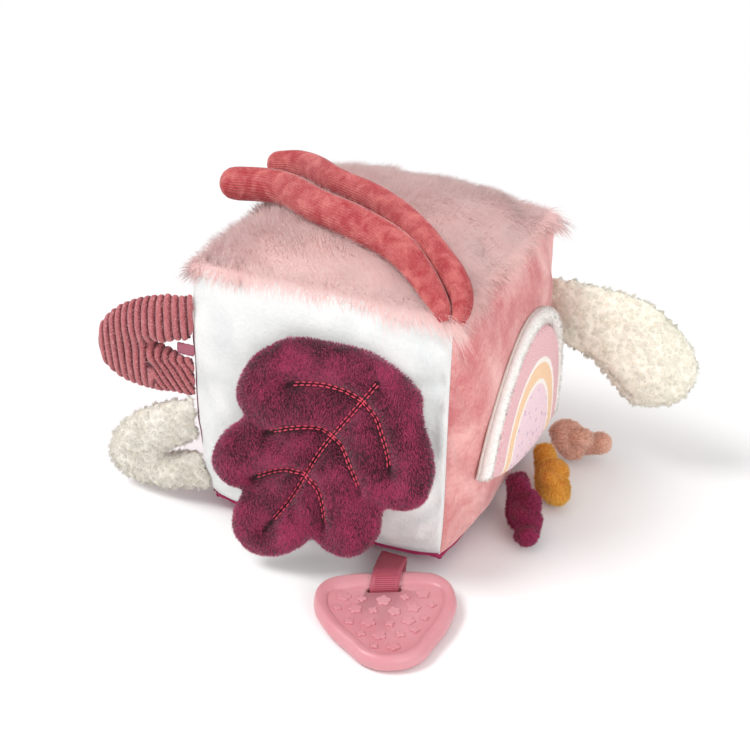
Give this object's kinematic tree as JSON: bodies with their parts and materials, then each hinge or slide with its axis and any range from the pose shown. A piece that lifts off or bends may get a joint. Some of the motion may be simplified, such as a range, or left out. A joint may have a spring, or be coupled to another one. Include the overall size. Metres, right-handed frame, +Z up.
{
  "type": "soft fabric activity block",
  "caption": "Stuffed fabric cube for a baby with a quilted leaf, arch patch, knotted tubes, padded handles, an ear and a teether on a ribbon.",
  "frame": {"origin": "on the floor, under the middle of the cube, in the flat face it stands on", "axes": "+Z up; -Y is the white front face with the leaf; +X is the rose face with the arch"},
  "size_m": [0.2839, 0.2342, 0.176],
  "materials": {
    "fur": "long soft pile, pale pink",
    "velour_white": "short velour, white",
    "velour_rose": "short velour, rose",
    "velour_burgundy": "short velour, burgundy",
    "velour_dusty": "short velour, dusty pink",
    "plush_leaf": "speckled plush, burgundy",
    "plush_tube": "ribbed velour, dusty rose",
    "corduroy": "wide-wale corduroy, rose",
    "sherpa": "curly sherpa, off-white",
    "sherpa_cream": "curly sherpa, cream",
    "terry": "terry, white",
    "print": "printed jersey in pink and yellow bands",
    "cotton": "plain cotton, white",
    "knot_burgundy": "velour, burgundy",
    "knot_mustard": "velour, mustard",
    "knot_dusty": "velour, dusty pink",
    "grosgrain": "ribbed grosgrain, pink",
    "silicone": "satin silicone, pale pink",
    "filling": "polyester fibre, white",
    "capsule": "moulded plastic, pale grey"
  },
  "bodies": {
    "cube": {"fur_top": "fur", "front_panel": "velour_white", "right_panel": "velour_rose", "left_panel": "velour_burgundy", "rear_panel": "velour_dusty", "bottom_panel": "velour_burgundy", "stuffing_upper": "filling", "stuffing_lower": "filling", "rattle_cap_upper": "capsule", "rattle_cap_lower": "capsule", "arch_backing": "cotton", "arch_border": "terry", "arch_print": "print", "seam_tab": "grosgrain"},
    "rattle": {"rattle_ball": "capsule"},
    "leaf": {"leaf_front": "plush_leaf", "leaf_back": "plush_leaf"},
    "knot_burgundy": {"knot_burgundy": "knot_burgundy"},
    "knot_mustard": {"knot_mustard": "knot_mustard"},
    "knot_dusty": {"knot_dusty": "knot_dusty"},
    "top_tube_front": {"top_tube_front": "plush_tube"},
    "top_tube_rear": {"top_tube_rear": "plush_tube"},
    "corduroy_loop": {"corduroy_loop": "corduroy"},
    "sherpa_loop": {"sherpa_loop": "sherpa"},
    "ear": {"sherpa_ear": "sherpa_cream"},
    "ribbon": {"ribbon": "grosgrain"},
    "teether": {"teether": "silicone"}
  },
  "joints": [
    {"name": "rattle_slide", "type": "slide", "parent": "cube", "child": "rattle", "axis": [0, 0, 1], "range_m": [0, 0.018]},
    {"name": "leaf_lift", "type": "hinge", "parent": "cube", "child": "leaf", "pos_m": [0.047, -0.0786, 0.117], "axis": [-0.8291, 0, 0.5591], "range_deg": [0, 120]},
    {"name": "knot_burgundy_swing", "type": "hinge", "parent": "cube", "child": "knot_burgundy", "pos_m": [0.0825, -0.006, 0.0265], "axis": [0, -1, 0], "range_deg": [0, 60]},
    {"name": "knot_mustard_swing", "type": "hinge", "parent": "cube", "child": "knot_mustard", "pos_m": [0.083, 0.036, 0.019], "axis": [0, -1, 0], "range_deg": [0, 45]},
    {"name": "knot_dusty_swing", "type": "hinge", "parent": "cube", "child": "knot_dusty", "pos_m": [0.082, 0.062, 0.019], "axis": [0, -1, 0], "range_deg": [0, 45]},
    {"name": "top_tube_front_lift", "type": "hinge", "parent": "cube", "child": "top_tube_front", "pos_m": [0.062, -0.0685, 0.1451], "axis": [0.45, 0.893, 0], "range_deg": [0, 65]},
    {"name": "top_tube_rear_lift", "type": "hinge", "parent": "cube", "child": "top_tube_rear", "pos_m": [0.0725, -0.071, 0.144], "axis": [0.45, 0.893, 0], "range_deg": [0, 70]},
    {"name": "corduroy_swing", "type": "hinge", "parent": "cube", "child": "corduroy_loop", "pos_m": [-0.0725, -0.072, 0.096], "axis": [0, 0, 1], "range_deg": [-25, 60]},
    {"name": "sherpa_swing", "type": "hinge", "parent": "cube", "child": "sherpa_loop", "pos_m": [-0.0725, -0.072, 0.04], "axis": [0, 0, 1], "range_deg": [-20, 60]},
    {"name": "ear_swing", "type": "hinge", "parent": "cube", "child": "ear", "pos_m": [0.069, 0.071, 0.088], "axis": [0, 0, 1], "range_deg": [-7, 75]},
    {"name": "ribbon_swing", "type": "hinge", "parent": "cube", "child": "ribbon", "pos_m": [0.0415, -0.071, 0.0065], "axis": [-1, 0, 0], "range_deg": [-70, 12]},
    {"name": "teether_turn", "type": "hinge", "parent": "ribbon", "child": "teether", "pos_m": [0.0497, -0.1024, 0.0062], "axis": [0, 0, 1], "range_deg": [-8, 4]}
  ]
}
